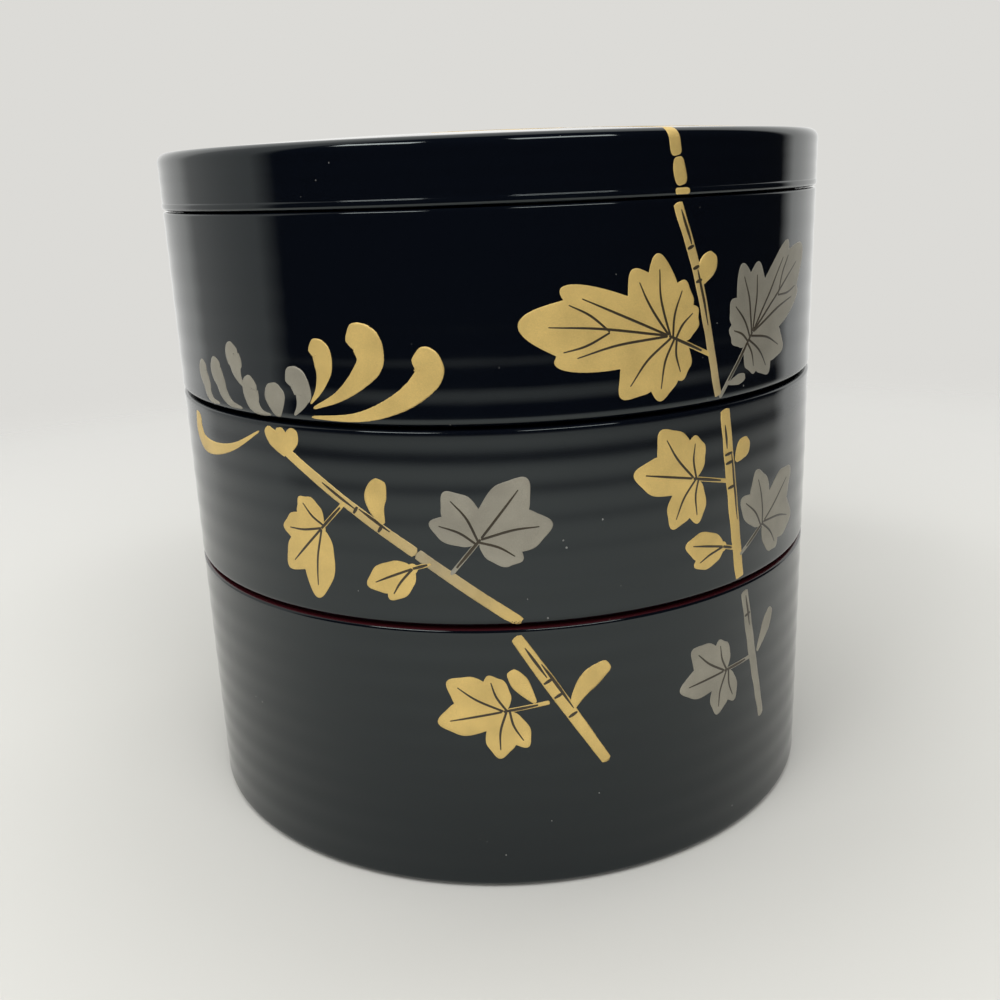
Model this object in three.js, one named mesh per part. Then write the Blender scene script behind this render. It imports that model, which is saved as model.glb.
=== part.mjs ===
// Round stacking box of lacquered wood: three tiers that rest on one another and a lift-off lid.
// Millimetres, +Z up. The origin is at the middle of the underside.
import * as THREE from 'three';

// Driving dimensions
const boxRadius = 91;
const wall = 5;
const bottomTierHeight = 71.3;
const upperTierHeight = 48.2;
const lidSideHeight = 14.5;
const lidDomeRise = 2.6;
const restingGap = 0.3;

// Turned ribs on the outside
const ribDepth = 0.08;
const upperTierRibs = 6;
const bottomTierRibs = 9;

// Edges: the lower edge is rounded under, the rim is rounded over
const lowerEdgeDepth = 3.5;
const lowerEdgeHeight = 2;
const rimRadius = 0.8;
const edgeSteps = 3;
const rimSteps = 2;

// Floor and the locating step that drops inside the rim below
const floorThickness = 4.5;
const locatingDrop = 2;
const locatingClearance = 0.5;

// Lid
const lidTopThickness = 4;
const lidLipWidth = 3.5;
const lidLipRise = 3;
const lidShoulderRadius = 2.5;
const lidShoulderSteps = 4;
const lidDomeSteps = 4;
const lidBeadFlare = 0.15;
const lidRibs = 2;
const lidBeadHeight = 1.8;

const segments = 48;
const innerRadius = boxRadius - wall;
const locatingRadius = innerRadius - locatingClearance;

const lacquer = { color: 0x0a0a0c, roughness: 0.12, metalness: 0 };

// Quarter ellipse from (r0, z0) to (r1, z1), leaving (r0, z0) level when startsLevel is true, else upright.
function quarterEllipse(r0, z0, r1, z1, steps, startsLevel) {
  const points = [];
  for (let i = 1; i <= steps; i += 1) {
    const angle = (Math.PI / 2) * (i / steps);
    const across = startsLevel ? Math.sin(angle) : 1 - Math.cos(angle);
    const rise = startsLevel ? 1 - Math.cos(angle) : Math.sin(angle);
    points.push(new THREE.Vector2(r0 + (r1 - r0) * across, z0 + (z1 - z0) * rise));
  }
  return points;
}

// Outside wall between two heights: a cosine wave with a crest at both ends and one valley for each rib.
function ribbedWall(zLow, zHigh, ribs, crestRadius) {
  const points = [];
  const halfWaves = 2 * ribs;
  for (let i = 1; i <= halfWaves; i += 1) {
    const along = i / halfWaves;
    const dip = ribDepth * (1 - Math.cos(2 * Math.PI * ribs * along)) / 2;
    points.push(new THREE.Vector2(crestRadius - dip, zLow + (zHigh - zLow) * along));
  }
  return points;
}

// Turns a profile of (radius, height) points around Z.
function turned(points) {
  const geometry = new THREE.LatheGeometry(points, segments);
  geometry.rotateX(Math.PI / 2);
  return geometry;
}

// Underside of a tier, from the axis to the start of its rounded lower edge.
function underside(seat, hasLocatingStep) {
  const ring = new THREE.Vector2(boxRadius - lowerEdgeDepth, seat);
  if (!hasLocatingStep) {
    return [new THREE.Vector2(0, seat), ring];
  }
  return [
    new THREE.Vector2(0, seat - locatingDrop),
    new THREE.Vector2(locatingRadius, seat - locatingDrop),
    new THREE.Vector2(locatingRadius, seat),
    ring,
  ];
}

// One open tier: underside, rounded lower edge, ribbed wall, rounded rim, smooth inside and flat floor.
function tierGeometry({ seat, height, ribs, hasLocatingStep }) {
  const rim = seat + height - restingGap;
  const floorTop = seat + floorThickness - (hasLocatingStep ? locatingDrop : 0);
  const edgeInner = boxRadius - lowerEdgeDepth;
  const edgeTop = seat + lowerEdgeHeight;
  const rimStart = rim - rimRadius;
  return turned([
    ...underside(seat, hasLocatingStep),
    ...quarterEllipse(edgeInner, seat, boxRadius, edgeTop, edgeSteps, true),
    ...ribbedWall(edgeTop, rimStart, ribs, boxRadius),
    ...quarterEllipse(boxRadius, rimStart, boxRadius - rimRadius, rim, rimSteps, false),
    new THREE.Vector2(innerRadius, rim),
    new THREE.Vector2(innerRadius, floorTop),
    new THREE.Vector2(0, floorTop),
  ]);
}

// Dome of the lid, a shallow paraboloid from its shoulder to the axis.
function domePoints(shoulderRadius, shoulderHeight) {
  const points = [];
  for (let i = 1; i <= lidDomeSteps; i += 1) {
    const share = 1 - i / lidDomeSteps;
    const height = shoulderHeight + lidDomeRise * (1 - share * share);
    points.push(new THREE.Vector2(shoulderRadius * share, height));
  }
  return points;
}

// Lid: hollow underneath, with a ring that drops inside the top tier, a beaded lower edge and a domed top.
function lidGeometry(seat) {
  const shoulderTop = seat + lidSideHeight;
  const shoulderStart = shoulderTop - lidShoulderRadius;
  const ceiling = shoulderTop - lidTopThickness;
  const lipInner = locatingRadius - lidLipWidth;
  const lipTop = seat + lidLipRise;
  const beadRadius = boxRadius + lidBeadFlare;
  const beadMiddle = seat + lidBeadHeight / 2;
  const shoulderRadius = boxRadius - lidShoulderRadius;
  return turned([
    new THREE.Vector2(0, ceiling),
    new THREE.Vector2(innerRadius, ceiling),
    new THREE.Vector2(innerRadius, lipTop),
    new THREE.Vector2(lipInner, lipTop),
    new THREE.Vector2(lipInner, seat - locatingDrop),
    new THREE.Vector2(locatingRadius, seat - locatingDrop),
    new THREE.Vector2(locatingRadius, seat),
    new THREE.Vector2(boxRadius - lidBeadHeight / 2, seat),
    ...quarterEllipse(boxRadius - lidBeadHeight / 2, seat, beadRadius, beadMiddle, edgeSteps, true),
    new THREE.Vector2(boxRadius - ribDepth, seat + lidBeadHeight),
    new THREE.Vector2(boxRadius, seat + 2 * lidBeadHeight),
    ...ribbedWall(seat + 2 * lidBeadHeight, shoulderStart, lidRibs, boxRadius),
    ...quarterEllipse(boxRadius, shoulderStart, shoulderRadius, shoulderTop, lidShoulderSteps, false),
    ...domePoints(shoulderRadius, shoulderTop),
  ]);
}

function lacqueredMesh(name, geometry) {
  const mesh = new THREE.Mesh(geometry, new THREE.MeshStandardMaterial(lacquer));
  mesh.name = name;
  return mesh;
}

// The stack, from the floor up. The bottom tier is the tall one.
const middleSeat = bottomTierHeight;
const topSeat = middleSeat + upperTierHeight;
const lidSeat = topSeat + upperTierHeight;
const tiers = [
  { name: 'tier_bottom', seat: 0, height: bottomTierHeight, ribs: bottomTierRibs, hasLocatingStep: false },
  { name: 'tier_middle', seat: middleSeat, height: upperTierHeight, ribs: upperTierRibs, hasLocatingStep: true },
  { name: 'tier_top', seat: topSeat, height: upperTierHeight, ribs: upperTierRibs, hasLocatingStep: true },
];

const box = new THREE.Group();
for (const tier of tiers) {
  box.add(lacqueredMesh(tier.name, tierGeometry(tier)));
}
box.add(lacqueredMesh('lid', lidGeometry(lidSeat)));

export default box;
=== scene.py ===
import bpy
import numpy as np
from mathutils import Matrix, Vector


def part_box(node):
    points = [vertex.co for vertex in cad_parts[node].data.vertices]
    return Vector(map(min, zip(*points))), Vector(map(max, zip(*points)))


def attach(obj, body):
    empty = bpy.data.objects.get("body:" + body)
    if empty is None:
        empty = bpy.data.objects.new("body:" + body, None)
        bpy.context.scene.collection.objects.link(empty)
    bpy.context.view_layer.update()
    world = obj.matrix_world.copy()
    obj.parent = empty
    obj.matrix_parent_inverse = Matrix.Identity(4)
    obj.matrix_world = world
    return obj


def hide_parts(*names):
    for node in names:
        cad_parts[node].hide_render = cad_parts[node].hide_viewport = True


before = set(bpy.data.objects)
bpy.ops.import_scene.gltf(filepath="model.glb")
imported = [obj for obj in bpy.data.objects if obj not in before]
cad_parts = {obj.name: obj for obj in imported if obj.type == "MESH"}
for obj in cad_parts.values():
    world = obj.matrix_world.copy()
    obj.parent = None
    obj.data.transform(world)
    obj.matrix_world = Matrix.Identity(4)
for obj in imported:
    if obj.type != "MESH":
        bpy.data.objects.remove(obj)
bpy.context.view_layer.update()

# Bottom tier: the tall open box that carries the rest, turned in wood and covered in black lacquer, with
# dark red lacquer inside and on the rim. Shallow ribs are turned round its outside. It stands on its flat
# base.
MM = 0.001
DEGREE = np.pi / 180
TURN_SIDES = 288
RIB_DEPTH = 0.08 * MM
POINTS_PER_RIB = 14
WALL = 5 * MM
LOWER_EDGE_DEPTH = 3.5 * MM
LOWER_EDGE_HEIGHT = 2 * MM
RIM_RADIUS = 0.8 * MM
RIM_INNER_RADIUS = 1.2 * MM
FLOOR_THICKNESS = 4.5 * MM
FLOOR_FILLET = 3 * MM
LOCATING_DROP = 2 * MM
LOCATING_CLEARANCE = 0.5 * MM
BOTTOM_RIBS = 9


def run(start, end, count):
    """Straight stretch of a profile: count points evenly from just after start to end, as (radius,
    height)."""
    share = np.linspace(0, 1, count + 1)[1:, None]
    return np.asarray(start) + (np.asarray(end) - np.asarray(start)) * share


def quarter_round(start, end, level_first, count=10):
    """Quarter ellipse from start to end: one coordinate goes as the sine of an angle that runs to a right
    angle and the other as one minus its cosine. level_first says that it leaves start along the radius."""
    angle = np.linspace(0, np.pi / 2, count + 1)[1:]
    eased = np.stack([np.sin(angle), 1 - np.cos(angle)], axis=1)
    share = eased if level_first else eased[:, ::-1]
    return np.asarray(start) + (np.asarray(end) - np.asarray(start)) * share


def ribbed_wall(radius, low, high, ribs):
    """Outside wall: the radius dips by the rib depth as a cosine of the height, with a crest at both
    ends."""
    share = np.linspace(0, 1, ribs * POINTS_PER_RIB + 1)[1:]
    dip = RIB_DEPTH * (1 - np.cos(2 * np.pi * ribs * share)) / 2
    return np.stack([radius - dip, low + (high - low) * share], axis=1)


def tier_profile(node, ribs, stepped, red_rim):
    """Section of a tier as (radius, height) points, from the middle of its underside, out and up the
    ribbed wall, over the rim, and down the inside to the middle of its floor. Also gives its outside
    stretch and the number of the point where the red lacquer begins: half over the rim with red_rim,
    else inside it, so that the rim stays black lacquer as painted shade for the gap under the piece above."""
    low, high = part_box(node)
    radius = high[0]
    rim = high[2]
    seat = low[2] + (LOCATING_DROP if stepped else 0)
    inner = radius - WALL
    edge = (radius - LOWER_EDGE_DEPTH, seat)
    foot = [np.array([[0, low[2]]])]
    if stepped:
        step_radius = inner - LOCATING_CLEARANCE
        foot += [run((0, low[2]), (step_radius, low[2]), 12),
                 run((step_radius, low[2]), (step_radius, seat), 2), run((step_radius, seat), edge, 3)]
    else:
        foot += [run((0, seat), edge, 12)]
    outside = [quarter_round(edge, (radius, seat + LOWER_EDGE_HEIGHT), True),
               ribbed_wall(radius, seat + LOWER_EDGE_HEIGHT, rim - RIM_RADIUS, ribs)]
    rim_outer = quarter_round((radius, rim - RIM_RADIUS), (radius - RIM_RADIUS, rim), False)
    floor = low[2] + FLOOR_THICKNESS
    inside = [run((radius - RIM_RADIUS, rim), (inner + RIM_INNER_RADIUS, rim), 4),
              quarter_round((inner + RIM_INNER_RADIUS, rim), (inner, rim - RIM_INNER_RADIUS), True),
              run((inner, rim - RIM_INNER_RADIUS), (inner, floor + FLOOR_FILLET), 10),
              quarter_round((inner, floor + FLOOR_FILLET), (inner - FLOOR_FILLET, floor), False),
              run((inner - FLOOR_FILLET, floor), (0, floor), 12)]
    red_from = sum(len(part) for part in foot + outside) + len(rim_outer) // 2
    # Without red_rim the rim and its inner edge stay black: painted shade for the gap under the piece above.
    if not red_rim:
        red_from += len(rim_outer) // 2 + len(inside[0]) + len(inside[1])
    return np.concatenate(foot + outside + [rim_outer] + inside), np.concatenate(outside), red_from


def sleeve(rings, first, last):
    """Closed skin over rings of points that each go once round, with a pole point at each end. Point j of
    ring i joins its neighbours along the ring and in the next ring. Gives (points, faces)."""
    count, around = rings.shape[:2]
    points = np.concatenate([[first], rings.reshape(-1, 3), [last]])
    here = np.arange(around)
    after = np.roll(here, -1)
    row = 1 + around * np.arange(count - 1)[:, None]
    quads = np.stack([row + here, row + after, row + around + after, row + around + here], axis=-1)
    end_row = 1 + around * (count - 1)
    start_fan = np.stack([np.zeros_like(here), 1 + after, 1 + here], axis=-1)
    end_fan = np.stack([end_row + here, end_row + after, np.full_like(here, len(points) - 1)], axis=-1)
    return points, start_fan.tolist() + quads.reshape(-1, 4).tolist() + end_fan.tolist()


def mesh_piece(name, points, faces, materials):
    """Puts points and faces into a smooth-shaded mesh object at the origin that moves with the box."""
    mesh = bpy.data.meshes.new(name)
    mesh.from_pydata(points.tolist(), [], faces)
    mesh.polygons.foreach_set("use_smooth", np.ones(len(faces), dtype=bool))
    for material in materials:
        mesh.materials.append(material)
    piece = bpy.data.objects.new(name, mesh)
    bpy.context.collection.objects.link(piece)
    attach(piece, "root")
    return piece


def turned_piece(name, node, profile, red_from):
    """Surface of revolution: the profile's point (r, z) at turn angle a is (r sin a, -r cos a, z). Rings
    from red_from on are red lacquer and the ones before are black."""
    angle = np.linspace(0, 2 * np.pi, TURN_SIDES, endpoint=False)
    radius = profile[1:-1, :1]
    height = np.broadcast_to(profile[1:-1, 1:], (len(radius), TURN_SIDES))
    rings = np.stack([radius * np.sin(angle), -radius * np.cos(angle), height], axis=-1)
    points, faces = sleeve(rings, (0, 0, profile[0, 1]), (0, 0, profile[-1, 1]))
    piece = mesh_piece(name, points, faces, [black_lacquer, red_lacquer])
    band = np.arange(len(faces)) // TURN_SIDES
    piece.data.polygons.foreach_set("material_index", (band >= red_from).astype(np.int32))
    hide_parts(node)
    return piece


def add_node(tree, kind, place, **settings):
    """New shader node of a kind at a place on the board, with its named inputs or properties set."""
    node = tree.nodes.new(kind)
    node.location = place
    for key, value in settings.items():
        if key in node.inputs:
            node.inputs[key].default_value = value
        else:
            setattr(node, key, value)
    return node


def new_group(name, inputs, outputs):
    """Empty shader group with float or vector sockets. Gives the tree and its input and output nodes."""
    group = bpy.data.node_groups.new(name, "ShaderNodeTree")
    for socket, kind, value in inputs:
        made = group.interface.new_socket(socket, in_out="INPUT", socket_type=kind)
        if value is not None:
            made.default_value = value
    for socket, kind in outputs:
        group.interface.new_socket(socket, in_out="OUTPUT", socket_type=kind)
    return group, add_node(group, "NodeGroupInput", (-900, 0)), add_node(group, "NodeGroupOutput", (600, 0))


def dust_and_rubbing():
    """Group for handled lacquer: sparse dust specks, cloudy rubbing and a faint waviness of the coat."""
    group, given, result = new_group(
        "dust_and_rubbing",
        [("Vector", "NodeSocketVector", None), ("Speck Scale", "NodeSocketFloat", 260.0),
         ("Speck Size", "NodeSocketFloat", 0.07)],
        [("Specks", "NodeSocketFloat"), ("Rubbing", "NodeSocketFloat"), ("Waviness", "NodeSocketFloat")])
    link = group.links.new
    cells = add_node(group, "ShaderNodeTexVoronoi", (-600, 250), feature="F1")
    spread = add_node(group, "ShaderNodeTexNoise", (-600, 0), Scale=35.0, Detail=3.0)
    wave = add_node(group, "ShaderNodeTexNoise", (-600, -300), Scale=90.0, Detail=2.0)
    for texture in (cells, spread, wave):
        link(given.outputs["Vector"], texture.inputs["Vector"])
    link(given.outputs["Speck Scale"], cells.inputs["Scale"])
    chance = add_node(group, "ShaderNodeMapRange", (-350, 0))
    chance.inputs["From Min"].default_value = 0.45
    chance.inputs["From Max"].default_value = 0.7
    link(spread.outputs["Fac"], chance.inputs["Value"])
    reach = add_node(group, "ShaderNodeMath", (-150, 100), operation="MULTIPLY")
    link(chance.outputs["Result"], reach.inputs[0])
    link(given.outputs["Speck Size"], reach.inputs[1])
    speck = add_node(group, "ShaderNodeMath", (100, 250), operation="LESS_THAN")
    link(cells.outputs["Distance"], speck.inputs[0])
    link(reach.outputs["Value"], speck.inputs[1])
    link(speck.outputs["Value"], result.inputs["Specks"])
    link(chance.outputs["Result"], result.inputs["Rubbing"])
    link(wave.outputs["Fac"], result.inputs["Waviness"])
    return group


handled_coat = dust_and_rubbing()


def new_material(name):
    """Empty node material. Gives the material, its tree, its Principled shader and its object
    coordinates."""
    material = bpy.data.materials.new(name)
    material.use_nodes = True
    tree = material.node_tree
    tree.nodes.clear()
    shader = add_node(tree, "ShaderNodeBsdfPrincipled", (300, 0))
    output = add_node(tree, "ShaderNodeOutputMaterial", (600, 0))
    tree.links.new(shader.outputs["BSDF"], output.inputs["Surface"])
    where = add_node(tree, "ShaderNodeTexCoord", (-900, 0))
    return material, tree, shader, where.outputs["Object"]


# Places of the two colours and of the result among a colour Mix node's sockets
MIX_FIRST = 6
MIX_SECOND = 7
MIX_COLOUR = 2
LACQUER_SHEEN = (0.9, 1, 0.98, 1)
LACQUER_IOR = 1.52


def lacquer(name, colour, speck_colour, clean_roughness, rubbed_roughness):
    """Polished lacquer: a dark coat with grey dust specks, a little duller where it has been rubbed."""
    material, tree, shader, where = new_material(name)
    link = tree.links.new
    coat = add_node(tree, "ShaderNodeGroup", (-650, 0), node_tree=handled_coat)
    link(where, coat.inputs["Vector"])
    tint = add_node(tree, "ShaderNodeMix", (-300, 200), data_type="RGBA")
    tint.inputs[MIX_FIRST].default_value = (*colour, 1)
    tint.inputs[MIX_SECOND].default_value = (*speck_colour, 1)
    link(coat.outputs["Specks"], tint.inputs["Factor"])
    link(tint.outputs[MIX_COLOUR], shader.inputs["Base Color"])
    gloss = add_node(tree, "ShaderNodeMapRange", (-300, -100))
    gloss.inputs["To Min"].default_value = clean_roughness
    gloss.inputs["To Max"].default_value = rubbed_roughness
    link(coat.outputs["Rubbing"], gloss.inputs["Value"])
    link(gloss.outputs["Result"], shader.inputs["Roughness"])
    bump = add_node(tree, "ShaderNodeBump", (-50, -350), Strength=0.04, Distance=0.0004)
    link(coat.outputs["Waviness"], bump.inputs["Height"])
    link(bump.outputs["Normal"], shader.inputs["Normal"])
    shader.inputs["IOR"].default_value = LACQUER_IOR
    shader.inputs["Specular Tint"].default_value = LACQUER_SHEEN
    return material


# Black lacquer: its own near-black, with a faint blue cast that is a painted reflection of the dim room.
black_lacquer = lacquer("black_lacquer", colour=(0.0018, 0.0026, 0.0048), speck_colour=(0.16, 0.16, 0.15),
                        clean_roughness=0.05, rubbed_roughness=0.11)
red_lacquer = lacquer("red_lacquer", colour=(0.034, 0.005, 0.007), speck_colour=(0.1, 0.05, 0.04),
                      clean_roughness=0.12, rubbed_roughness=0.22)

bottom_profile, bottom_outside, bottom_red = tier_profile("tier_bottom", BOTTOM_RIBS, False, True)
turned_piece("bottom_tier", "tier_bottom", bottom_profile, bottom_red)

# Middle tier: an open box of the same turned and lacquered wood. A step under its floor drops inside the
# rim below and keeps it in place, and its rounded lower edge leaves a dark line above that rim.
UPPER_RIBS = 6

# Its rim is black lacquer, not red: painted shade for the dark gap under the tier above.
middle_profile, middle_outside, middle_red = tier_profile("tier_middle", UPPER_RIBS, True, False)
turned_piece("middle_tier", "tier_middle", middle_profile, middle_red)

# Top tier: the same open box as the middle one, resting on it in the same way. Its rim carries the lid.
# Its rim is black lacquer too: painted shade for the dark gap under the lid.
top_profile, top_outside, top_red = tier_profile("tier_top", UPPER_RIBS, True, False)
turned_piece("top_tier", "tier_top", top_profile, top_red)

# Lid: turned wood under black lacquer, red underneath, with a ring that drops inside the top tier. The
# side has two shallow ribs over a small bead, and a rounded shoulder leads to a gently domed top. It
# lifts off.
LID_RIBS = 2
LID_LIP_WIDTH = 3.5 * MM
LID_LIP_RISE = 3 * MM
LID_TOP_THICKNESS = 4 * MM
LID_DOME_RISE = 2.6 * MM
LID_SHOULDER_RADIUS = 2.5 * MM
LID_BEAD_HEIGHT = 1.8 * MM


def lid_profile(radius):
    """Section of the lid as (radius, height) points, from the middle of its ceiling, down the inside and
    the locating ring, round the bead, up the ribbed side and over the shoulder, and along a parabola to
    the top. Also gives its outside stretch and the number of the point where the black lacquer begins."""
    low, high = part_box("lid")
    seat = low[2] + LOCATING_DROP
    shoulder = high[2] - LID_DOME_RISE
    ceiling = shoulder - LID_TOP_THICKNESS
    inner = radius - WALL
    ring_outer = inner - LOCATING_CLEARANCE
    ring_inner = ring_outer - LID_LIP_WIDTH
    bead_foot = radius - LID_BEAD_HEIGHT / 2
    bead_radius = high[0]
    neck = radius - RIB_DEPTH
    inside = [np.array([[0, ceiling]]), run((0, ceiling), (inner, ceiling), 12),
              run((inner, ceiling), (inner, seat + LID_LIP_RISE), 3),
              run((inner, seat + LID_LIP_RISE), (ring_inner, seat + LID_LIP_RISE), 2),
              run((ring_inner, seat + LID_LIP_RISE), (ring_inner, low[2]), 3),
              run((ring_inner, low[2]), (ring_outer, low[2]), 2),
              run((ring_outer, low[2]), (ring_outer, seat), 2),
              run((ring_outer, seat), (bead_foot, seat), 3)]
    rib_start = seat + 2 * LID_BEAD_HEIGHT
    dome_radius = radius - LID_SHOULDER_RADIUS
    share = np.linspace(1, 0, 40)[1:]
    dome = np.stack([dome_radius * share, shoulder + LID_DOME_RISE * (1 - share ** 2)], axis=1)
    bead_middle = seat + LID_BEAD_HEIGHT / 2
    outside = [quarter_round((bead_foot, seat), (bead_radius, bead_middle), True),
               quarter_round((bead_radius, bead_middle), (neck, seat + LID_BEAD_HEIGHT), False),
               run((neck, seat + LID_BEAD_HEIGHT), (radius, rib_start), 6),
               ribbed_wall(radius, rib_start, shoulder - LID_SHOULDER_RADIUS, LID_RIBS),
               quarter_round((radius, shoulder - LID_SHOULDER_RADIUS), (dome_radius, shoulder), False), dome]
    return np.concatenate(inside + outside), np.concatenate(outside), sum(len(part) for part in inside)


box_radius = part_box("tier_top")[1][0]
lid_section, lid_outside, lid_black = lid_profile(box_radius)
lid_piece = turned_piece("lid_body", "lid", lid_section, 0)
lid_band = np.arange(len(lid_piece.data.polygons)) // TURN_SIDES
lid_piece.data.polygons.foreach_set("material_index", (lid_band < lid_black).astype(np.int32))

# Left spray: gold and silver powder sprinkled on wet lacquer and burnished, a film hardly thicker than
# paint. A flower with curling petals stands on the top tier and its stem runs down over the two tiers
# below.
FILM = 0.05 * MM
SUNK = 0.04 * MM
INK = 0.03 * MM
STROKE_STEPS = 44
STROKE_ACROSS = 7
LEAF_AROUND = 360
LEAF_RING_STEP = 1.4
TOOTH_DEPTH = 0.03
TOOTH_PITCH = 24
STALK_WIDTH = 1.3
LONG_LOBE = 30
STEM_STEPS = 100
GOLD = 0.0
SILVER = 1.0
GOLD_COLOUR = (0.66, 0.47, 0.16, 1)
SILVER_COLOUR = (0.30, 0.28, 0.225, 1)


def wall_of(outside, seat):
    """Gives the function that lays a flat drawing on a turned wall: across in millimetres of arc from the
    front and up in millimetres along the wall, equal to the height over the seat at half height. The lift
    is along the wall's normal."""
    step = np.hypot(*np.diff(outside, axis=0).T)
    along = np.concatenate([[0], np.cumsum(step)])
    slope = np.gradient(outside, along, axis=0)
    half_way = np.argmin(np.abs(outside[:, 1] - (seat + outside[:, 1].max()) / 2))
    along += outside[half_way, 1] - seat - along[half_way]

    def place(across, up, lift):
        at = np.clip(up * MM, along[0], along[-1])
        radius = np.interp(at, along, outside[:, 0])
        height = np.interp(at, along, outside[:, 1])
        out = np.interp(at, along, slope[:, 1])
        rise = -np.interp(at, along, slope[:, 0])
        reach = radius + out * lift
        angle = across * MM / box_radius
        return np.stack([reach * np.sin(angle), -reach * np.cos(angle), height + rise * lift], axis=-1)

    return place


def smooth_curve(knots, count):
    """Curve through every knot, each a row of numbers: between two knots it is the cubic whose slope at a
    knot is half the step between that knot's neighbours."""
    knots = np.asarray(knots, dtype=float)
    padded = np.concatenate([2 * knots[:1] - knots[1:2], knots, 2 * knots[-1:] - knots[-2:-1]])
    at = np.linspace(0, len(knots) - 1, count)
    cell = np.minimum(at.astype(int), len(knots) - 2)
    t = (at - cell)[:, None]
    before, start, end, after = (padded[cell + k] for k in range(4))
    return 0.5 * (2 * start + (end - before) * t + (2 * before - 5 * start + 4 * end - after) * t ** 2
                  + (3 * start - before - 3 * end + after) * t ** 3)


def stroke(place, knots, silver=GOLD, base=-SUNK, top=FILM):
    """Brush stroke: a smooth curve through knots of (across, up, width), widened to both sides with blunt
    round ends. Its section is a flat lens that closes at its edges. silver is one share for all, or one
    for each end. Gives (points, faces, silver)."""
    path = smooth_curve(knots, STROKE_STEPS)
    line = path[:, :2]
    step = np.hypot(*np.diff(line, axis=0).T)
    along = np.concatenate([[0], np.cumsum(step)])
    ahead = np.gradient(line, along, axis=0)
    ahead /= np.linalg.norm(ahead, axis=1, keepdims=True)
    half = np.maximum(path[:, 2] / 2, 0.02)
    near_end = np.minimum(np.minimum(along, along[-1] - along) / half, 1)
    cap = np.cbrt(np.maximum(1 - (1 - near_end) ** 3, 0))
    over = np.linspace(1, -1, STROKE_ACROSS)
    offset = np.concatenate([over, over[-2:0:-1]])
    is_top = np.concatenate([np.ones(STROKE_ACROSS), np.zeros(STROKE_ACROSS - 2)])
    shift = (half * cap)[1:-1, None] * offset
    across = line[1:-1, :1] - ahead[1:-1, 1:] * shift
    up = line[1:-1, 1:] + ahead[1:-1, :1] * shift
    crown = (1 - np.abs(offset) ** 6) * is_top * cap[1:-1, None]
    rings = place(across, up, base + (top - base) * crown)
    ends = place(line[[0, -1], 0], line[[0, -1], 1], np.full(2, base))
    points, faces = sleeve(rings, ends[0], ends[1])
    first, last = np.broadcast_to(silver, 2)
    shares = first + (last - first) * along / along[-1]
    return points, faces, np.concatenate([shares[:1], np.repeat(shares[1:-1], len(offset)), shares[-1:]])


def petal(foot, shoulder, tip, width, bow=0):
    """Petal as knots for a stroke: thin at its foot, widest past its shoulder, and curled over from there
    to its tip round the outside of the turn. From foot to shoulder it is bowed to the right by a share of
    that length."""
    foot, shoulder, tip = np.array(foot), np.array(shoulder), np.array(tip)
    rise, curl = shoulder - foot, tip - shoulder
    rise_right, curl_right = (np.array([step[1], -step[0]]) for step in (rise, curl))
    outside = np.sign(rise_right @ -curl)
    crown = shoulder + 0.5 * curl + 0.25 * outside * curl_right
    steps = ((0, 0, 0.08), (0.4, 0.9, 0.34), (0.75, 0.8, 0.66))
    lower = [(*(foot + along * rise + bow * aside * rise_right), thick * width)
             for along, aside, thick in steps]
    return [*lower, (*shoulder, 0.92 * width), (*crown, width), (*tip, 0.7 * width)]


def blade(foot, tip, width, bow=0):
    """Small blade as knots for a stroke: thin at its foot, widest past its middle, narrower at its tip, and
    bowed to the right by a share of its length."""
    foot = np.array(foot)
    rise = np.array(tip) - foot
    right = np.array([rise[1], -rise[0]])
    steps = ((0, 0, 0.2), (0.35, 0.9, 0.75), (0.65, 0.9, 1), (1, 0, 0.6))
    return [(*(foot + along * rise + bow * aside * right), thick * width) for along, aside, thick in steps]


def lobes_of(form, hub, stalk, size, mirror):
    """Lobes of a leaf as rows of (bearing, length, width). The form gives each lobe's turn from the line of
    the stalk, and its length and width as shares of the leaf's size. mirror is 1 or -1."""
    heading = np.arctan2(hub[1] - stalk[1], hub[0] - stalk[0]) / DEGREE
    return np.array([(heading + mirror * turn, size * length, size * width) for turn, length, width in form])


def leaf_reach(lobes, bearing):
    """Reach of a leaf from its hub at each bearing: that of the lobe that goes farthest there. A lobe is an
    ellipse that starts at the hub. At an angle d from its own line it reaches its length times cos d over
    (cos d squared plus (length / width times sin d) squared), with a shallow wave of teeth along it."""
    line, length, width = (column[:, None] for column in lobes.T)
    aside = ((bearing - line + 180) % 360 - 180) * DEGREE
    ahead = np.maximum(np.cos(aside), 0)
    oval = length * ahead / (ahead ** 2 + (length / width * np.sin(aside)) ** 2)
    teeth = 1 + TOOTH_DEPTH * np.cos(2 * np.pi * aside / (TOOTH_PITCH * DEGREE))
    return np.maximum((oval * teeth).max(axis=0), STALK_WIDTH)


def leaf(place, form, hub, stalk, size, silver=GOLD, mirror=1):
    """Lobed leaf as one film: rings from its hub out to its edge on top and back again underneath. Its
    stalk is a stroke from the stem to the hub. Gives a list of patches."""
    bearing = np.linspace(360, 0, LEAF_AROUND, endpoint=False)
    reach = leaf_reach(lobes_of(form, hub, stalk, size, mirror), bearing)
    share = np.append(np.linspace(0, 0.98, int(reach.max() / LEAF_RING_STEP) + 3)[1:], 1)
    share = np.concatenate([share, share[-2::-1]])[:, None]
    lift = np.full_like(share, -SUNK)
    lift[:len(share) // 2] = FILM
    across = hub[0] + share * reach * np.cos(bearing * DEGREE)
    up = hub[1] + share * reach * np.sin(bearing * DEGREE)
    rings = place(across, up, np.broadcast_to(lift, across.shape))
    poles = place(np.full(2, hub[0]), np.full(2, hub[1]), np.array([FILM, -SUNK]))
    points, faces = sleeve(rings, poles[0], poles[1])
    return [(points, faces, np.full(len(points), silver)),
            stroke(place, [(*stalk, STALK_WIDTH), (*hub, STALK_WIDTH)], silver)]


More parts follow.
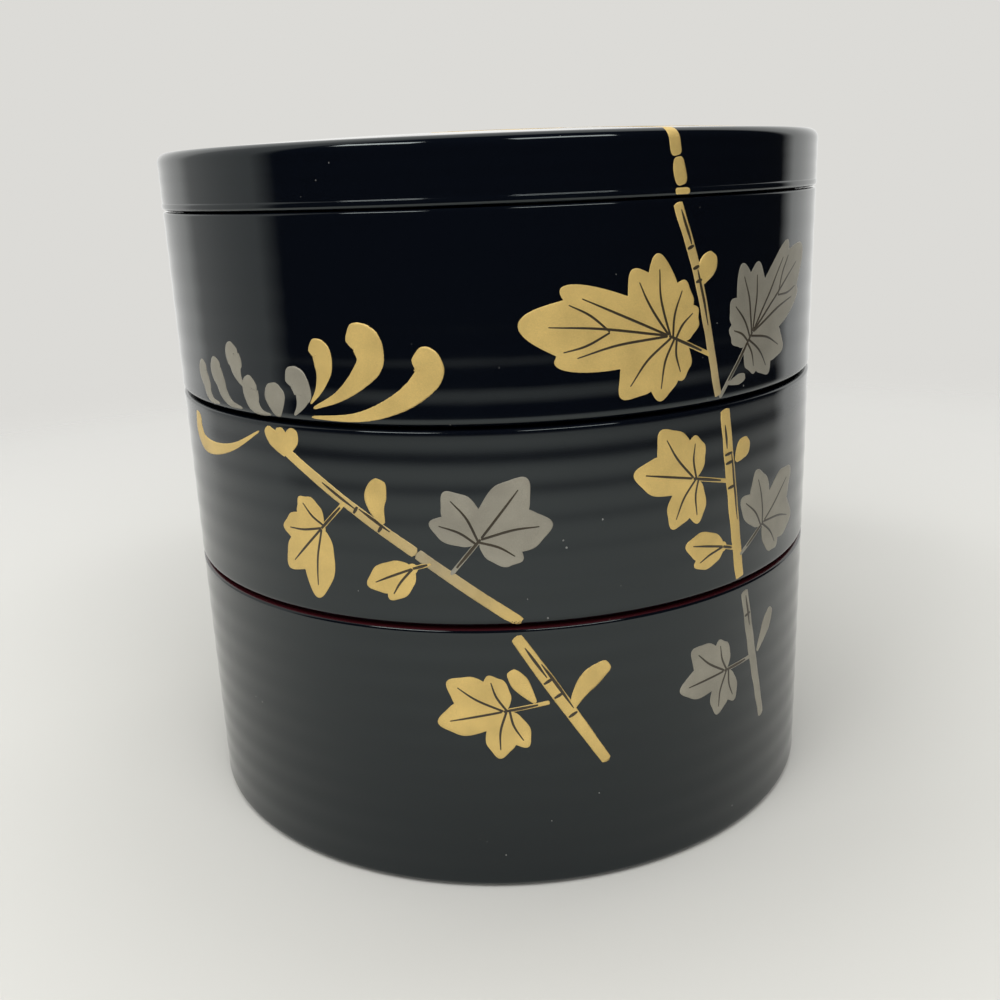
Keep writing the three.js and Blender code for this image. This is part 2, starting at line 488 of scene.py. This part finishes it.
def leaf_veins(place, form, hub, stalk, size, silver=GOLD, mirror=1):
    """Dark lines scratched in a leaf: a midrib along its stalk and a bent vein into each lobe. A lobe that
    points ahead has its vein from the hub, one that points back has it from lower on the midrib, and a
    long lobe has a pair of side veins. Takes the same values as leaf."""
    hub, stalk = np.array(hub), np.array(stalk)
    heading = (hub - stalk) / np.hypot(*(hub - stalk))
    midrib = ((0.25, 0.6), (0.6, 0.95), (1, 0.8))
    lines = [[(stalk + share * (hub - stalk), width) for share, width in midrib]]
    for bearing, length, _ in lobes_of(form, hub, stalk, size, mirror):
        towards = np.array([np.cos(bearing * DEGREE), np.sin(bearing * DEGREE)])
        aside = np.array([-towards[1], towards[0]])
        start = hub + 0.1 * (1 - towards @ heading) * (stalk - hub)
        end = hub + 0.84 * length * towards
        bend = 0.5 * (start + end) + 0.06 * length * heading
        lines.append([(start, 0.75), (bend, 0.75), (end, 0.35)])
        if length > LONG_LOBE:
            for side in (-1, 1):
                turn_off = hub + 0.42 * length * towards
                side_tip = hub + length * (0.72 * towards + 0.15 * side * aside)
                middle = 0.5 * (turn_off + side_tip) + 0.02 * length * side * aside
                lines.append([(turn_off, 0.6), (middle, 0.7), (side_tip, 0.35)])
    rows = [[(*point, width) for point, width in line] for line in lines]
    return [stroke(place, knots, base=0, top=FILM + INK) for knots in rows]


def stem_marks(place, stem, lines, knots):
    """Dark marks on a stem: fine lines between two shares of its length, set to one side of its middle by
    a share of its half width, and short bars across it at the knots."""
    path = smooth_curve(stem, STEM_STEPS + 1)
    ahead = np.gradient(path[:, :2], axis=0)
    ahead /= np.linalg.norm(ahead, axis=1, keepdims=True)
    aside = np.stack([-ahead[:, 1], ahead[:, 0]], axis=1) * path[:, 2:] / 2
    marks = []
    for start, end, side in lines:
        at = np.linspace(STEM_STEPS * start, STEM_STEPS * end, 5).astype(int)
        width = np.array([[0.3], [0.8], [0.95], [0.8], [0.3]])
        marks.append(np.concatenate([path[at, :2] + side * aside[at], width], axis=1))
    for share in knots:
        at = int(STEM_STEPS * share)
        bar = [path[at, :2] + side * aside[at] for side in (-0.7, 0, 0.7)]
        marks.append([(*point, width) for point, width in zip(bar, (0.6, 1.1, 0.6))])
    return [stroke(place, mark, base=0, top=FILM + INK) for mark in marks]


def join(patches):
    """Puts patches of (points, faces, silver) after one another as one."""
    sizes = [len(points) for points, _, _ in patches]
    starts = np.concatenate([[0], np.cumsum(sizes)[:-1]])
    faces = [[corner + int(start) for corner in face]
             for start, patch in zip(starts, patches) for face in patch[1]]
    return np.concatenate([p[0] for p in patches]), faces, np.concatenate([p[2] for p in patches])


def picture(name, patches, material):
    """One film piece from patches, with each point's share of silver kept as the attribute "silver"."""
    points, faces, silver = join(patches)
    piece = mesh_piece(name, points, faces, [material])
    share = piece.data.attributes.new("silver", "FLOAT", "POINT")
    share.data.foreach_set("value", silver.astype(np.float32))
    return piece


def powder_grain():
    """Group for metal powder in lacquer: a fine sparkle of grains and broad, slow changes of tone."""
    group, given, result = new_group(
        "powder_grain", [("Vector", "NodeSocketVector", None), ("Grain Scale", "NodeSocketFloat", 5000.0)],
        [("Grain", "NodeSocketFloat"), ("Tone", "NodeSocketFloat")])
    link = group.links.new
    grain = add_node(group, "ShaderNodeTexNoise", (-600, 200), Detail=2.0)
    tone = add_node(group, "ShaderNodeTexNoise", (-600, -100), Scale=120.0, Detail=3.0)
    link(given.outputs["Vector"], grain.inputs["Vector"])
    link(given.outputs["Vector"], tone.inputs["Vector"])
    link(given.outputs["Grain Scale"], grain.inputs["Scale"])
    link(grain.outputs["Fac"], result.inputs["Grain"])
    link(tone.outputs["Fac"], result.inputs["Tone"])
    return group


metal_powder = powder_grain()


def powder_material():
    """Burnished powder: gold that turns to silver with the attribute, with grain in its tone and its
    gloss."""
    material, tree, shader, where = new_material("gold_and_silver_powder")
    link = tree.links.new
    grain = add_node(tree, "ShaderNodeGroup", (-700, -100), node_tree=metal_powder)
    link(where, grain.inputs["Vector"])
    share = add_node(tree, "ShaderNodeAttribute", (-700, 250), attribute_name="silver")
    metal = add_node(tree, "ShaderNodeMix", (-450, 250), data_type="RGBA")
    metal.inputs[MIX_FIRST].default_value = GOLD_COLOUR
    metal.inputs[MIX_SECOND].default_value = SILVER_COLOUR
    link(share.outputs["Fac"], metal.inputs["Factor"])
    worn = add_node(tree, "ShaderNodeMapRange", (-450, -50))
    worn.inputs["From Min"].default_value = 0.3
    worn.inputs["From Max"].default_value = 0.7
    worn.inputs["To Min"].default_value = 0.86
    worn.inputs["To Max"].default_value = 1.08
    link(grain.outputs["Tone"], worn.inputs["Value"])
    sparkle = add_node(tree, "ShaderNodeMapRange", (-450, -300))
    sparkle.inputs["From Min"].default_value = 0.3
    sparkle.inputs["From Max"].default_value = 0.7
    sparkle.inputs["To Min"].default_value = 0.9
    sparkle.inputs["To Max"].default_value = 1.1
    link(grain.outputs["Grain"], sparkle.inputs["Value"])
    both = add_node(tree, "ShaderNodeMath", (-250, -100), operation="MULTIPLY")
    link(worn.outputs["Result"], both.inputs[0])
    link(sparkle.outputs["Result"], both.inputs[1])
    shade = add_node(tree, "ShaderNodeVectorMath", (0, 200), operation="SCALE")
    link(metal.outputs[MIX_COLOUR], shade.inputs[0])
    link(both.outputs["Value"], shade.inputs["Scale"])
    link(shade.outputs["Vector"], shader.inputs["Base Color"])
    gloss = add_node(tree, "ShaderNodeMapRange", (0, -200))
    gloss.inputs["To Min"].default_value = 0.36
    gloss.inputs["To Max"].default_value = 0.56
    link(grain.outputs["Grain"], gloss.inputs["Value"])
    link(gloss.outputs["Result"], shader.inputs["Roughness"])
    shader.inputs["Metallic"].default_value = 0.4
    return material


def ink_material():
    """Brown-black lines where the powder was scratched away to the lacquer below."""
    material, tree, shader, where = new_material("scratched_lines")
    link = tree.links.new
    grain = add_node(tree, "ShaderNodeGroup", (-700, 0), node_tree=metal_powder)
    link(where, grain.inputs["Vector"])
    tint = add_node(tree, "ShaderNodeMix", (-300, 100), data_type="RGBA")
    tint.inputs[MIX_FIRST].default_value = (0.012, 0.009, 0.006, 1)
    tint.inputs[MIX_SECOND].default_value = (0.05, 0.035, 0.015, 1)
    link(grain.outputs["Tone"], tint.inputs["Factor"])
    link(tint.outputs[MIX_COLOUR], shader.inputs["Base Color"])
    shader.inputs["Roughness"].default_value = 0.35
    return material


powder = powder_material()
scratched = ink_material()
on_bottom = wall_of(bottom_outside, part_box("tier_bottom")[0][2])
on_middle = wall_of(middle_outside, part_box("tier_middle")[0][2] + LOCATING_DROP)
on_top = wall_of(top_outside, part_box("tier_top")[0][2] + LOCATING_DROP)

# Leaf forms: each lobe's turn from the stalk's line in degrees, then its length and width in shares
BROAD_LEAF = [(-80, 0.62, 0.44), (-40, 0.95, 0.58), (2, 1, 0.58), (76, 0.78, 0.48), (112, 0.7, 0.4)]
NARROW_LEAF = [(-95, 0.52, 0.4), (-40, 0.66, 0.45), (0, 0.88, 0.5), (36, 1, 0.5)]
LONG_LEAF = [(-122, 0.28, 0.25), (-86, 0.36, 0.25), (-56, 0.52, 0.24), (-34, 0.5, 0.28), (0, 0.8, 0.25),
             (17, 1, 0.44), (33, 0.78, 0.26), (72, 0.5, 0.3), (106, 0.42, 0.26), (136, 0.32, 0.25)]
SMALL_LEAF = [(6, 1, 0.6), (36, 0.8, 0.46)]

gold_petals = [
    petal((-45, 5), (-40.5, 14), (-44, 19), 6, 0.1),
    petal((-44.5, 4), (-28.5, 15.5), (-34, 22), 8.5, 0.1),
    petal((-45.5, 2), (-15.5, 11.5), (-18, 17.5), 8, 0.12),
]
silver_petals = [
    petal((-50, 2), (-47, 7.5), (-52, 11.5), 6.5, 0.1),
    blade((-55, 1), (-56.5, 9.5), 8),
    petal((-57.5, 1.5), (-64, 5), (-62.5, 9.5), 7, -0.22),
    petal((-66, 7), (-69.5, 13), (-69, 17.5), 7, -0.12),
    petal((-68, 2), (-77.5, 8), (-78, 13.5), 6.5, -0.2),
    petal((-78.5, 2), (-85.5, 6.5), (-85.5, 12), 6, -0.25),
]
picture("left_spray_flower", [stroke(on_top, line) for line in gold_petals]
        + [stroke(on_top, line, SILVER) for line in silver_petals], powder)

hanging_petal = petal((-62, 45.5), (-92, 38), (-94.5, 46), 6, -0.09)
CALYX_FOOT = (-54, 40)
calyx = [blade(CALYX_FOOT, tip, 5) for tip in ((-60, 46.5), (-55.5, 47), (-50.5, 47))]
small_blade = blade((-28, 25.5), (-28, 36.5), 6.5, -0.15)
middle_stem_top = [(-54, 41.5, 3), (-20, 18.5, 3.2)]
middle_stem_low = [(-20.5, 19, 3.2), (4, 1, 3.4)]
middle_left_leaves = [
    dict(form=NARROW_LEAF, hub=(-45, 23), stalk=(-37, 31), size=18),
    dict(form=SMALL_LEAF, hub=(-21.5, 15), stalk=(-16.5, 16.5), size=12.5),
    dict(form=BROAD_LEAF, hub=(-5, 22.5), stalk=(-13, 13), size=17.5, silver=SILVER),
]
picture("left_spray_middle",
        [stroke(on_middle, line) for line in [*calyx, hanging_petal, small_blade]]
        + [stroke(on_middle, middle_stem_top, (0, 0.4)), stroke(on_middle, middle_stem_low, (0.75, 0))]
        + [patch for each in middle_left_leaves for patch in leaf(on_middle, **each)], powder)
picture("left_spray_middle_lines",
        [line for each in middle_left_leaves for line in leaf_veins(on_middle, **each)]
        + stem_marks(on_middle, middle_stem_top, [(0.3, 0.56, 0.1), (0.58, 0.8, 0.5)], [0.57, 0.74]),
        scratched)

bottom_stem = [(2, 69.5, 3.4), (11, 55, 4), (24.5, 33, 3)]
bottom_left_leaves = [
    dict(form=BROAD_LEAF, hub=(-1.5, 49.7), stalk=(10, 51.5), size=16),
]
bottom_side_blades = [
    blade((6.5, 51.5), (0.5, 60.5), 5),
    blade((15, 48.5), (25, 60), 6, -0.1),
]
picture("left_spray_bottom",
        [stroke(on_bottom, line) for line in [bottom_stem, *bottom_side_blades]]
        + [patch for each in bottom_left_leaves for patch in leaf(on_bottom, **each)], powder)
picture("left_spray_bottom_lines",
        [line for each in bottom_left_leaves for line in leaf_veins(on_bottom, **each)]
        + stem_marks(on_bottom, bottom_stem, [(0.12, 0.42, 0.1), (0.3, 0.66, 0.55)], [0.44, 0.55, 0.68]),
        scratched)

# Right spray: made in the same way. Its stem comes over the edge of the lid and runs down all the tiers,
# in gold that pales to silver, with large lobed leaves on both sides.
SHOULDER_COVERED = 0.9

on_lid = wall_of(lid_outside[lid_outside[:, 0] > box_radius - SHOULDER_COVERED * LID_SHOULDER_RADIUS],
                 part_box("lid")[0][2] + LOCATING_DROP)

lid_stem = [[(41, 16, 3.4), (42.5, 8.5, 3.4)], [(42.7, 8.4, 3), (43.3, 5, 4), (44, 2.3, 3.4)]]
lid_cap = [(42, 1, 1.8), (46, 1, 1.8)]
picture("right_spray_lid", [stroke(on_lid, line) for line in [*lid_stem, lid_cap]], powder)

top_stem = [(42.5, 47.5, 3), (49, 29.5, 2.8), (56, 1, 2.6)]
top_blade = blade((48.5, 28), (53.5, 35.5), 6.5)
top_silver_lobe = blade((59, 4.5), (65.5, 5.5), 3)
top_right_leaves = [
    dict(form=LONG_LEAF, hub=(40.5, 18), stalk=(53.5, 12), size=35),
    dict(form=LONG_LEAF, hub=(68, 16), stalk=(56, 1.5), size=32, silver=SILVER, mirror=-1),
]
picture("right_spray_top", [stroke(on_top, top_stem, (0, 0.5)), stroke(on_top, top_blade),
                            stroke(on_top, top_silver_lobe, SILVER)]
        + [patch for each in top_right_leaves for patch in leaf(on_top, **each)], powder)
picture("right_spray_top_lines",
        [line for each in top_right_leaves for line in leaf_veins(on_top, **each)]
        + stem_marks(on_top, top_stem, [(0.06, 0.3, 0.3), (0.44, 0.7, 0.2)], [0.31, 0.43, 0.5]), scratched)

middle_right_stem = [(58, 47.5, 3.8), (61.5, 25, 4.2), (65.5, 1, 3.8)]
middle_right_leaves = [
    dict(form=BROAD_LEAF, hub=(48, 31.5), stalk=(60.5, 28.5), size=16.5),
    dict(form=SMALL_LEAF, hub=(58.5, 12), stalk=(63, 10.5), size=12.5),
    dict(form=BROAD_LEAF, hub=(76, 14.5), stalk=(65, 8), size=19, silver=SILVER),
]
middle_bud = blade((62.5, 33), (67.5, 38), 6.5)
picture("right_spray_middle", [stroke(on_middle, middle_right_stem), stroke(on_middle, middle_bud)]
        + [patch for each in middle_right_leaves for patch in leaf(on_middle, **each)], powder)
picture("right_spray_middle_lines",
        [line for each in middle_right_leaves for line in leaf_veins(on_middle, **each)]
        + stem_marks(on_middle, middle_right_stem, [(0.1, 0.24, -0.2), (0.26, 0.66, 0.5)],
                     [0.27, 0.32, 0.46]), scratched)

bottom_right_stem = [(67.5, 69.5, 3.4), (72, 50.5, 3.8), (78, 29, 3)]
bottom_right_leaves = [
    dict(form=BROAD_LEAF, hub=(60, 49), stalk=(72, 49.5), size=15, silver=SILVER),
]
bottom_narrow_blade = blade((74.5, 49.5), (82, 60), 5.5)
picture("right_spray_bottom",
        [stroke(on_bottom, line, SILVER) for line in (bottom_right_stem, bottom_narrow_blade)]
        + [patch for each in bottom_right_leaves for patch in leaf(on_bottom, **each)], powder)
picture("right_spray_bottom_lines",
        [line for each in bottom_right_leaves for line in leaf_veins(on_bottom, **each)]
        + stem_marks(on_bottom, bottom_right_stem, [(0.05, 0.3, 0.2)], [0.2]), scratched)

# Lid picture: the right spray's stem runs on over the shoulder to the middle of the top, in the same
# powder, with a few leaves and a small flower.


def on_dome(across, up, lift):
    """Lays a flat drawing on the lid's top, seen from above: across to the right and up away from the
    front, in millimetres from the axis. The height is the dome's parabola, with its shoulder's quarter
    round at the edge."""
    radius = np.hypot(across, up) * MM
    top = lid_outside[lid_outside[:, 1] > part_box("lid")[1][2] - LID_DOME_RISE - LID_SHOULDER_RADIUS][::-1]
    height = np.interp(radius, top[:, 0], top[:, 1])
    return np.stack([across * MM, up * MM, height + lift], axis=-1)


dome_stem = [(39.8, -80.4, 3), (34, -64, 3), (22, -42, 2.8), (6, -22, 2.4), (-10, -8, 1.8)]
FLOWER_AT = np.array([-14, -6])
PETALS = 10
DOME_STALK = 0.75


def round_petal(turn):
    """Petal of the flower on the lid: it leaves the flower's middle at an angle, widens and bends a
    little."""
    reaches = ((1, 0, 1), (10, 0.05, 5), (17, 0.15, 6), (22, 0.32, 4))
    return [(*(FLOWER_AT + reach * np.array([np.cos(turn + bend), np.sin(turn + bend)])), width)
            for reach, bend, width in reaches]


dome_petals = [round_petal(turn) for turn in np.linspace(0, 2 * np.pi, PETALS, endpoint=False)]
# Leaves on the lid: across, up, heading in degrees, size and metal
dome_leaves = [(42, -48, 46, 20, GOLD), (8, -46, 195, 22, GOLD), (22, -24, 50, 17, SILVER)]
dome_sprays = [
    dict(form=BROAD_LEAF, hub=(across, up), size=size, silver=silver,
         stalk=(across - DOME_STALK * size * np.cos(heading * DEGREE),
                up - DOME_STALK * size * np.sin(heading * DEGREE)))
    for across, up, heading, size, silver in dome_leaves
]
picture("lid_spray", [stroke(on_dome, line) for line in [dome_stem, *dome_petals]]
        + [patch for each in dome_sprays for patch in leaf(on_dome, **each)], powder)
picture("lid_spray_lines",
        [line for each in dome_sprays for line in leaf_veins(on_dome, **each)]
        + stem_marks(on_dome, dome_stem, [(0.1, 0.4, 0.2), (0.45, 0.7, -0.2)], [0.42, 0.5]), scratched)

# Studio: a pale floor that fades into a pale backdrop, soft light from the front and above, and a dim
# room behind the camera. The camera stands level with the lid and looks down a little.
IMAGE_SIZE = 1000
FOCAL_PIXELS = 1096.3
SENSOR_WIDTH = 36.0
CAMERA_BACK = 3.618 * box_radius
CAMERA_UP = 1.919 * box_radius
CAMERA_PITCH = 0.292
CAMERA_ROLL = -0.039
CAMERA_YAW = -0.001
BACKDROP = (0.715, 0.707, 0.68, 1)
# Floor colour near the box and far out: painted shade near the box and painted light far out.
FLOOR_NEAR_SHADED_COLOUR = (0.55, 0.545, 0.515, 1)
FLOOR_FAR_LIT_COLOUR = (0.80, 0.795, 0.77, 1)
FLOOR_NEAR = 0.12
FLOOR_FAR = 0.55
FLOOR_RADIUS = 0.95
FLOOR_SIDES = 96
FLOOR_SOLID = 0.24
FLOOR_GONE = 0.80


def photo_camera():
    """Camera turned by yaw, then pitched down, then rolled about its own line of sight."""
    forward = np.array([np.sin(CAMERA_YAW) * np.cos(CAMERA_PITCH), np.cos(CAMERA_YAW) * np.cos(CAMERA_PITCH),
                        -np.sin(CAMERA_PITCH)])
    level = np.array([np.cos(CAMERA_YAW), -np.sin(CAMERA_YAW), 0])
    upright = np.cross(level, forward)
    right = np.cos(CAMERA_ROLL) * level + np.sin(CAMERA_ROLL) * upright
    up = np.cos(CAMERA_ROLL) * upright - np.sin(CAMERA_ROLL) * level
    lens = bpy.data.cameras.new("photo_camera")
    lens.sensor_fit = "HORIZONTAL"
    lens.sensor_width = SENSOR_WIDTH
    lens.lens = FOCAL_PIXELS * SENSOR_WIDTH / IMAGE_SIZE
    lens.clip_start = 0.01
    camera = bpy.data.objects.new("photo_camera", lens)
    place = Matrix.Identity(4)
    for column, axis in enumerate((right, up, -forward)):
        for row in range(3):
            place[row][column] = axis[row]
    place[1][3] = -CAMERA_BACK
    place[2][3] = CAMERA_UP
    camera.matrix_world = place
    bpy.context.collection.objects.link(camera)
    bpy.context.scene.camera = camera


def pale_floor():
    """Round floor whose pale coat fades out with distance from the box, so that it has no far edge. Its
    colour goes from darker near the box to paler far out: painted shade near it, painted light far out.
    """
    angle = np.linspace(0, 2 * np.pi, FLOOR_SIDES, endpoint=False)
    ring = np.stack([np.cos(angle), np.sin(angle), np.zeros_like(angle)], axis=1) * FLOOR_RADIUS
    mesh = bpy.data.meshes.new("floor")
    mesh.from_pydata(ring.tolist(), [], [list(range(len(ring)))])
    floor = bpy.data.objects.new("floor", mesh)
    bpy.context.collection.objects.link(floor)
    material = bpy.data.materials.new("floor_paper")
    material.use_nodes = True
    tree = material.node_tree
    tree.nodes.clear()
    link = tree.links.new
    where = add_node(tree, "ShaderNodeTexCoord", (-900, 0))
    far = add_node(tree, "ShaderNodeVectorMath", (-650, 0), operation="LENGTH")
    link(where.outputs["Object"], far.inputs[0])
    fade = add_node(tree, "ShaderNodeMapRange", (-400, 0), interpolation_type="SMOOTHSTEP")
    fade.inputs["From Min"].default_value = FLOOR_SOLID
    fade.inputs["From Max"].default_value = FLOOR_GONE
    link(far.outputs["Value"], fade.inputs["Value"])
    # Painted shade to painted light: the floor's colour pales with distance from the box.
    painted_light_share = add_node(tree, "ShaderNodeMapRange", (-650, 300))
    painted_light_share.inputs["From Min"].default_value = FLOOR_NEAR
    painted_light_share.inputs["From Max"].default_value = FLOOR_FAR
    link(far.outputs["Value"], painted_light_share.inputs["Value"])
    tint = add_node(tree, "ShaderNodeMix", (-400, 300), data_type="RGBA")
    tint.inputs[MIX_FIRST].default_value = FLOOR_NEAR_SHADED_COLOUR
    tint.inputs[MIX_SECOND].default_value = FLOOR_FAR_LIT_COLOUR
    link(painted_light_share.outputs["Result"], tint.inputs["Factor"])
    paper = add_node(tree, "ShaderNodeBsdfDiffuse", (-150, 100))
    link(tint.outputs[MIX_COLOUR], paper.inputs["Color"])
    clear = add_node(tree, "ShaderNodeBsdfTransparent", (-150, -100))
    mix = add_node(tree, "ShaderNodeMixShader", (100, 0))
    link(fade.outputs["Result"], mix.inputs[0])
    link(paper.outputs["BSDF"], mix.inputs[1])
    link(clear.outputs["BSDF"], mix.inputs[2])
    output = add_node(tree, "ShaderNodeOutputMaterial", (350, 0))
    link(mix.outputs["Shader"], output.inputs["Surface"])
    mesh.materials.append(material)


def room_light():
    """World: an even pale backdrop for the camera. For light and reflections it is bright behind the box
    and on its left, and dim towards the camera."""
    world = bpy.data.worlds.new("studio")
    bpy.context.scene.world = world
    world.use_nodes = True
    tree = world.node_tree
    tree.nodes.clear()
    link = tree.links.new
    where = add_node(tree, "ShaderNodeTexCoord", (-1100, 0))
    parts = add_node(tree, "ShaderNodeSeparateXYZ", (-900, 0))
    link(where.outputs["Generated"], parts.inputs[0])
    bearing = add_node(tree, "ShaderNodeMath", (-700, 0), operation="ARCTAN2")
    link(parts.outputs["X"], bearing.inputs[0])
    link(parts.outputs["Y"], bearing.inputs[1])
    ramp = add_node(tree, "ShaderNodeMapRange", (-500, 0))
    ramp.inputs["From Min"].default_value = -np.pi
    ramp.inputs["From Max"].default_value = np.pi
    link(bearing.outputs["Value"], ramp.inputs["Value"])
    levels = add_node(tree, "ShaderNodeValToRGB", (-300, 0))
    dim, bright = 0.012, 1.0
    left_side = 0.62
    stops = [(-180, dim), (-107, dim), (-97, left_side), (-62, left_side), (-54, bright), (57, bright),
             (66, dim), (180, dim)]
    colours = levels.color_ramp.elements
    while len(colours) < len(stops):
        colours.new(0.5)
    for element, (degrees, level) in zip(colours, stops):
        element.position = (degrees + 180) / 360
        element.color = (level, level, level * 0.98, 1)
    link(ramp.outputs["Result"], levels.inputs["Fac"])
    light = add_node(tree, "ShaderNodeBackground", (0, 100))
    link(levels.outputs["Color"], light.inputs["Color"])
    shown = add_node(tree, "ShaderNodeBackground", (0, -100), Color=BACKDROP)
    path = add_node(tree, "ShaderNodeLightPath", (0, 400))
    mix = add_node(tree, "ShaderNodeMixShader", (250, 0))
    link(path.outputs["Is Camera Ray"], mix.inputs[0])
    link(light.outputs["Background"], mix.inputs[1])
    link(shown.outputs["Background"], mix.inputs[2])
    output = add_node(tree, "ShaderNodeOutputWorld", (500, 0))
    link(mix.outputs["Shader"], output.inputs["Surface"])


def soft_box(name, bearing, elevation, distance, size, radiance, mirrored):
    """Rectangular light that faces the box from a bearing, in degrees to the right of the front, and a
    height in degrees. Its power is the radiance times pi times its area. mirrored says whether the
    lacquer shows it."""
    light = bpy.data.lights.new(name, "AREA")
    light.shape = "RECTANGLE"
    light.size, light.size_y = size
    light.energy = radiance * np.pi * size[0] * size[1]
    lamp = bpy.data.objects.new(name, light)
    turn, tilt = bearing * DEGREE, elevation * DEGREE
    away = np.array([np.sin(turn) * np.cos(tilt), -np.cos(turn) * np.cos(tilt), np.sin(tilt)])
    right = np.array([np.cos(turn), np.sin(turn), 0])
    up = np.cross(away, right)
    centre = away * distance + np.array([0, 0, CAMERA_UP])
    place = Matrix.Identity(4)
    for column, axis in enumerate((right, up, away, centre)):
        for row in range(3):
            place[row][column] = axis[row]
    lamp.matrix_world = place
    lamp.visible_glossy = mirrored
    lamp.visible_camera = False
    bpy.context.collection.objects.link(lamp)


photo_camera()
pale_floor()
room_light()
soft_box("front_fill", -8, 35, 1.1, (1.4, 0.9), 2.6, False)
soft_box("overhead", 0, 80, 1.0, (1.2, 1.2), 1.6, False)
soft_box("left_lamp", -44, 48, 1.2, (0.5, 0.2), 9.0, True)
soft_box("right_lamp", 30, 48, 1.2, (0.6, 0.2), 7.0, True)
bpy.context.scene.view_settings.view_transform = "Standard"
